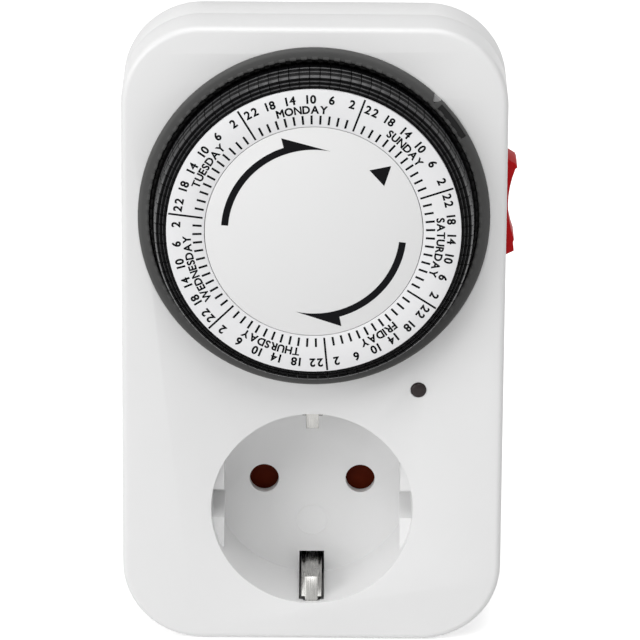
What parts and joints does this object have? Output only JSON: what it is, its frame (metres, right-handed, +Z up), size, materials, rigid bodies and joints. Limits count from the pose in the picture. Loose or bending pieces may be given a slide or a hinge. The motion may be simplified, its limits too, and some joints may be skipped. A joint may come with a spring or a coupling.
{
  "type": "plug-in timer switch",
  "caption": "Plug-in weekly timer switch: earthed socket and plug in one housing, with a segment dial, a side rocker, a shuttered socket and its gear drive.",
  "frame": {"origin": "centre of the plug's end face, between the two pins", "axes": "+Y along the pins into the wall, +Z up the housing, +X to the right seen from the front"},
  "size_m": [0.0761, 0.0804, 0.1247],
  "materials": {
    "front_plastic": "satin moulded",
    "rear_plastic": "satin moulded",
    "bezel_plastic": "satin moulded",
    "wheel_plastic": "satin moulded",
    "label_print": "printed",
    "disc_print": "printed",
    "segment_plastic": "satin moulded",
    "steel": "turned",
    "plated_steel": "zinc plated",
    "copper_winding": "enamelled wire",
    "magnet": "sintered",
    "gear_nylon": "moulded",
    "dark_insulator": "moulded",
    "board": "laminate",
    "brass_strip": "stamped",
    "carrier_nylon": "moulded",
    "nickel": "nickel plated",
    "shutter_plastic": "moulded",
    "rocker_plastic": "moulded",
    "lens": "polished",
    "lamp_glass": "clear",
    "resistor": "lacquered",
    "wire_jacket": "extruded"
  },
  "bodies": {
    "housing": {"front_housing": "front_plastic", "rear_housing": "rear_plastic", "dial_bezel": "bezel_plastic", "centre_disc": "disc_print", "dial_axle": "steel", "dial_spring": "steel", "dial_clip": "steel", "gear_plate": "plated_steel", "plate_screws": "steel", "motor_can": "plated_steel", "motor_cover": "plated_steel", "motor_coil": "copper_winding", "idler_axle": "steel", "switch_base": "dark_insulator", "switch_insulator": "board", "lever_pin": "steel", "live_bar": "brass_strip", "load_bar": "brass_strip", "neutral_bar": "brass_strip", "live_sleeve": "brass_strip", "neutral_sleeve": "brass_strip", "contact_carrier": "carrier_nylon", "plug_pin_live": "nickel", "plug_pin_neutral": "nickel", "earth_strap": "nickel", "shutter_spring": "steel", "shutter_clip": "steel", "rocker_frame": "dark_insulator", "indicator_lens": "lens", "lamp": "lamp_glass", "lamp_resistor": "resistor", "lamp_lead": "wire_jacket", "motor_leads": "wire_jacket", "housing_screws": "steel"},
    "dial": {"dial_wheel": "wheel_plastic", "label_ring": "label_print"},
    "segments_1": {"segments_1": "segment_plastic"},
    "segments_2": {"segments_2": "segment_plastic"},
    "segments_3": {"segments_3": "segment_plastic"},
    "segments_4": {"segments_4": "segment_plastic"},
    "segments_5": {"segments_5": "segment_plastic"},
    "segments_6": {"segments_6": "segment_plastic"},
    "segments_7": {"segments_7": "segment_plastic"},
    "segments_8": {"segments_8": "segment_plastic"},
    "rotor": {"motor_rotor": "magnet"},
    "idler": {"idler_gear": "gear_nylon"},
    "lever": {"switch_lever": "gear_nylon"},
    "contact": {"contact_arm": "brass_strip"},
    "shutter": {"shutter": "shutter_plastic"},
    "rocker": {"rocker": "rocker_plastic"}
  },
  "joints": [
    {"name": "dial_spin", "type": "hinge", "parent": "housing", "child": "dial", "pos_m": [0, -0.0518, 0.0598], "axis": [0, 1, 0], "continuous": true},
    {"name": "idler_spin", "type": "hinge", "parent": "housing", "child": "idler", "pos_m": [-0.0203, -0.0436, 0.05241], "axis": [0, 1, 0], "continuous": true},
    {"name": "rotor_spin", "type": "hinge", "parent": "housing", "child": "rotor", "pos_m": [-0.00904, -0.0436, 0.05891], "axis": [0, 1, 0], "continuous": true},
    {"name": "segments_1_push", "type": "slide", "parent": "dial", "child": "segments_1", "axis": [0, 1, 0], "range_m": [0, 0.002]},
    {"name": "segments_2_push", "type": "slide", "parent": "dial", "child": "segments_2", "axis": [0, 1, 0], "range_m": [0, 0.002]},
    {"name": "segments_3_push", "type": "slide", "parent": "dial", "child": "segments_3", "axis": [0, 1, 0], "range_m": [0, 0.002]},
    {"name": "segments_4_push", "type": "slide", "parent": "dial", "child": "segments_4", "axis": [0, 1, 0], "range_m": [0, 0.002]},
    {"name": "segments_5_push", "type": "slide", "parent": "dial", "child": "segments_5", "axis": [0, 1, 0], "range_m": [0, 0.002]},
    {"name": "segments_6_push", "type": "slide", "parent": "dial", "child": "segments_6", "axis": [0, 1, 0], "range_m": [0, 0.002]},
    {"name": "segments_7_push", "type": "slide", "parent": "dial", "child": "segments_7", "axis": [0, 1, 0], "range_m": [0, 0.002]},
    {"name": "segments_8_push", "type": "slide", "parent": "dial", "child": "segments_8", "axis": [0, 1, 0], "range_m": [0, 0.002]},
    {"name": "lever_tilt", "type": "hinge", "parent": "housing", "child": "lever", "pos_m": [0.01997, -0.0435, 0.03232], "axis": [-1, 0, 0], "range_deg": [0, 11], "stiffness_Nm_per_rad": 0.01, "springref_deg": -5.73},
    {"name": "contact_tilt", "type": "hinge", "parent": "housing", "child": "contact", "pos_m": [0.01997, -0.0246, 0.02932], "axis": [1, 0, 0], "range_deg": [0, 6]},
    {"name": "shutter_turn", "type": "hinge", "parent": "housing", "child": "shutter", "pos_m": [0, -0.0313, 0], "axis": [0, 1, 0], "range_deg": [0, 45], "stiffness_Nm_per_rad": 0.002, "springref_deg": -17.19, "deforming": ["shutter_spring"]},
    {"name": "rocker_tilt", "type": "hinge", "parent": "housing", "child": "rocker", "pos_m": [0.0338, -0.0417, 0.0602], "axis": [0, -1, 0], "range_deg": [0, 7]}
  ],
  "couplings": [
    {"joint": "idler_spin", "follows": "dial_spin", "ratio": -5},
    {"joint": "rotor_spin", "follows": "dial_spin", "ratio": 16.667},
    {"joint": "contact_tilt", "follows": "lever_tilt", "ratio": 0.54546}
  ]
}
